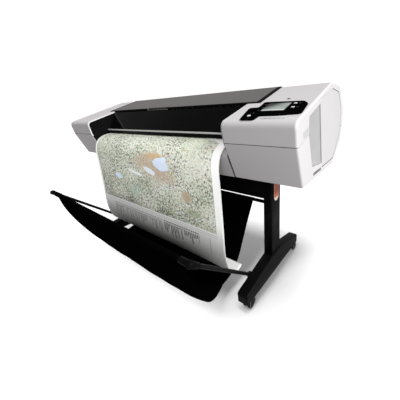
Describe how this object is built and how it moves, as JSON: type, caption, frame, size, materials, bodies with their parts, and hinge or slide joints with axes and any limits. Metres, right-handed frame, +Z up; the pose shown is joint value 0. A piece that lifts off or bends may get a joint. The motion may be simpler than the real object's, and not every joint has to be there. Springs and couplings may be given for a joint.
{
  "type": "large format plotter",
  "caption": "Wide roll-fed inkjet plotter on a wheeled stand, with a lifting top cover, a front control panel, a printed sheet and a fabric catch basket.",
  "frame": {"origin": "on the floor under the middle of the whole plotter's plan, basket included", "axes": "+X to the operator's right along the long side, +Y to the back, +Z up; the front faces -Y"},
  "size_m": [1.77, 0.964, 1.0498],
  "materials": {
    "stand_black": "black powder coat, fine satin texture",
    "basket_bar": "black satin coated steel",
    "basket_cloth": "black woven nylon, matte",
    "inner_black": "black moulded plastic, fine texture",
    "wheel_rubber": "black caster tread, matte",
    "chassis_steel": "zinc plated sheet steel",
    "polished_rod": "ground steel",
    "white_housing": "warm white moulded plastic, fine spark texture",
    "recess_grey": "light grey moulded plastic",
    "grey_cover": "smoke grey moulded plastic, satin gloss",
    "gloss_black": "piano black plastic",
    "silver_trim": "satin anodised strip",
    "screen_glass": "clear window over a pale display",
    "key_white": "white translucent key",
    "belt_rubber": "black rubber",
    "paper": "matte coated paper",
    "printed_paper": null,
    "ink_black": "black moulded plastic",
    "ink_cyan": "cyan moulded plastic",
    "ink_magenta": "magenta moulded plastic",
    "ink_yellow": "yellow moulded plastic"
  },
  "bodies": {
    "root": {"left_foot": "stand_black", "right_foot": "stand_black", "left_post": "stand_black", "right_post": "stand_black", "cross_brace": "stand_black", "basket_rear_bar": "basket_bar", "basket_cloth": "basket_cloth", "chassis_pan": "chassis_steel", "left_lower_cover": "white_housing", "left_upper_cover": "white_housing", "right_lower_cover": "white_housing", "right_upper_cover": "white_housing", "left_inner_wall": "inner_black", "right_inner_wall": "inner_black", "rear_cover": "white_housing", "hinge_rail": "white_housing", "front_panel": "gloss_black", "silver_trim": "silver_trim", "output_guide": "white_housing", "grip_recess": "recess_grey", "control_panel": "gloss_black", "display_screen": "screen_glass", "carriage_rail": "chassis_steel", "slide_rod": "polished_rod", "drive_belt": "belt_rubber", "carriage_motor": "inner_black", "platen": "inner_black", "printed_sheet": "printed_paper", "ink_cartridge_black": "ink_black", "ink_cartridge_cyan": "ink_cyan", "ink_cartridge_magenta": "ink_magenta", "ink_cartridge_yellow": "ink_yellow", "power_inlet": "inner_black"},
    "caster_front_left": {"caster_fork_front_left": "inner_black"},
    "caster_front_right": {"caster_fork_front_right": "inner_black"},
    "caster_rear_left": {"caster_fork_rear_left": "inner_black"},
    "caster_rear_right": {"caster_fork_rear_right": "inner_black"},
    "wheels_front_left": {"caster_wheels_front_left": "wheel_rubber"},
    "wheels_front_right": {"caster_wheels_front_right": "wheel_rubber"},
    "wheels_rear_left": {"caster_wheels_rear_left": "wheel_rubber"},
    "wheels_rear_right": {"caster_wheels_rear_right": "wheel_rubber"},
    "basket_frame": {"basket_arm_left": "basket_bar", "basket_arm_right": "basket_bar", "basket_front_bar": "basket_bar"},
    "top_lid": {"top_cover": "grey_cover"},
    "roll_lid": {"roll_cover": "white_housing"},
    "side_door": {"ink_door": "white_housing"},
    "carriage_unit": {"carriage": "inner_black", "printhead_black": "ink_black", "printhead_colour": "ink_cyan"},
    "pulley_drive": {"drive_pulley": "polished_rod"},
    "pulley_idler": {"idler_pulley": "polished_rod"},
    "feed_shaft": {"feed_roller": "belt_rubber"},
    "pinch_shaft": {"pinch_roller": "belt_rubber"},
    "roll_unit": {"roll_spindle": "inner_black", "paper_roll": "paper"},
    "up_key": {"key_up": "key_white"},
    "down_key": {"key_down": "key_white"},
    "round_key": {"power_button": "key_white"},
    "mains_rocker": {"power_switch": "inner_black"}
  },
  "joints": [
    {"name": "caster_front_left_swivel", "type": "hinge", "parent": "root", "child": "caster_front_left", "pos_m": [-0.6285, -0.14495, 0.0597], "axis": [0, 0, 1], "continuous": true},
    {"name": "caster_front_right_swivel", "type": "hinge", "parent": "root", "child": "caster_front_right", "pos_m": [0.6285, -0.14495, 0.0597], "axis": [0, 0, 1], "continuous": true},
    {"name": "caster_rear_left_swivel", "type": "hinge", "parent": "root", "child": "caster_rear_left", "pos_m": [-0.6285, 0.39505, 0.0597], "axis": [0, 0, 1], "continuous": true},
    {"name": "caster_rear_right_swivel", "type": "hinge", "parent": "root", "child": "caster_rear_right", "pos_m": [0.6285, 0.39505, 0.0597], "axis": [0, 0, 1], "continuous": true},
    {"name": "wheels_front_left_roll", "type": "hinge", "parent": "caster_front_left", "child": "wheels_front_left", "pos_m": [-0.6285, -0.12695, 0.028], "axis": [1, 0, 0], "continuous": true},
    {"name": "wheels_front_right_roll", "type": "hinge", "parent": "caster_front_right", "child": "wheels_front_right", "pos_m": [0.6285, -0.12695, 0.028], "axis": [1, 0, 0], "continuous": true},
    {"name": "wheels_rear_left_roll", "type": "hinge", "parent": "caster_rear_left", "child": "wheels_rear_left", "pos_m": [-0.6285, 0.41305, 0.028], "axis": [1, 0, 0], "continuous": true},
    {"name": "wheels_rear_right_roll", "type": "hinge", "parent": "caster_rear_right", "child": "wheels_rear_right", "pos_m": [0.6285, 0.41305, 0.028], "axis": [1, 0, 0], "continuous": true},
    {"name": "basket_frame_hinge", "type": "hinge", "parent": "root", "child": "basket_frame", "pos_m": [0, -0.05995, 0.115], "axis": [-1, 0, 0], "range_deg": [0, 25]},
    {"name": "top_cover_hinge", "type": "hinge", "parent": "root", "child": "top_lid", "pos_m": [0, 0.18339, 1.04481], "axis": [-1, 0, 0], "range_deg": [0, 80]},
    {"name": "roll_cover_hinge", "type": "hinge", "parent": "root", "child": "roll_lid", "pos_m": [0, 0.24855, 1.044], "axis": [1, 0, 0], "range_deg": [0, 80]},
    {"name": "ink_door_hinge", "type": "hinge", "parent": "root", "child": "side_door", "pos_m": [0.885, 0.42355, 0.86], "axis": [0, 0, 1], "range_deg": [0, 100]},
    {"name": "carriage_slide", "type": "slide", "parent": "root", "child": "carriage_unit", "axis": [1, 0, 0], "range_m": [-1.3, 0.04]},
    {"name": "drive_pulley_spin", "type": "hinge", "parent": "root", "child": "pulley_drive", "pos_m": [-0.8, 0.18605, 0.891], "axis": [0, 0, 1], "continuous": true},
    {"name": "idler_pulley_spin", "type": "hinge", "parent": "root", "child": "pulley_idler", "pos_m": [0.8, 0.18605, 0.891], "axis": [0, 0, 1], "continuous": true},
    {"name": "feed_roller_spin", "type": "hinge", "parent": "root", "child": "feed_shaft", "pos_m": [0, 0.18805, 0.7917], "axis": [1, 0, 0], "continuous": true},
    {"name": "pinch_roller_spin", "type": "hinge", "parent": "root", "child": "pinch_shaft", "pos_m": [0, 0.18805, 0.8161], "axis": [1, 0, 0], "continuous": true},
    {"name": "paper_roll_spin", "type": "hinge", "parent": "root", "child": "roll_unit", "pos_m": [0, 0.36505, 0.8], "axis": [1, 0, 0], "continuous": true},
    {"name": "key_up_press", "type": "slide", "parent": "root", "child": "up_key", "axis": [0, 0.3454, -0.9385], "range_m": [0, 0.0012], "stiffness_N_per_m": 300},
    {"name": "key_down_press", "type": "slide", "parent": "root", "child": "down_key", "axis": [0, 0.3454, -0.9385], "range_m": [0, 0.0012], "stiffness_N_per_m": 300},
    {"name": "power_button_press", "type": "slide", "parent": "root", "child": "round_key", "axis": [0, 0.3454, -0.9385], "range_m": [0, 0.0012], "stiffness_N_per_m": 300},
    {"name": "power_switch_rock", "type": "hinge", "parent": "root", "child": "mains_rocker", "pos_m": [0.759, 0.37704, 0.71436], "axis": [1, 0, 0], "range_deg": [0, 16]}
  ],
  "couplings": [
    {"joint": "drive_pulley_spin", "follows": "carriage_slide", "rad_per_m": 90},
    {"joint": "idler_pulley_spin", "follows": "carriage_slide", "rad_per_m": 90},
    {"joint": "pinch_roller_spin", "follows": "feed_roller_spin", "ratio": -1.75},
    {"joint": "paper_roll_spin", "follows": "feed_roller_spin", "ratio": 0.2}
  ]
}
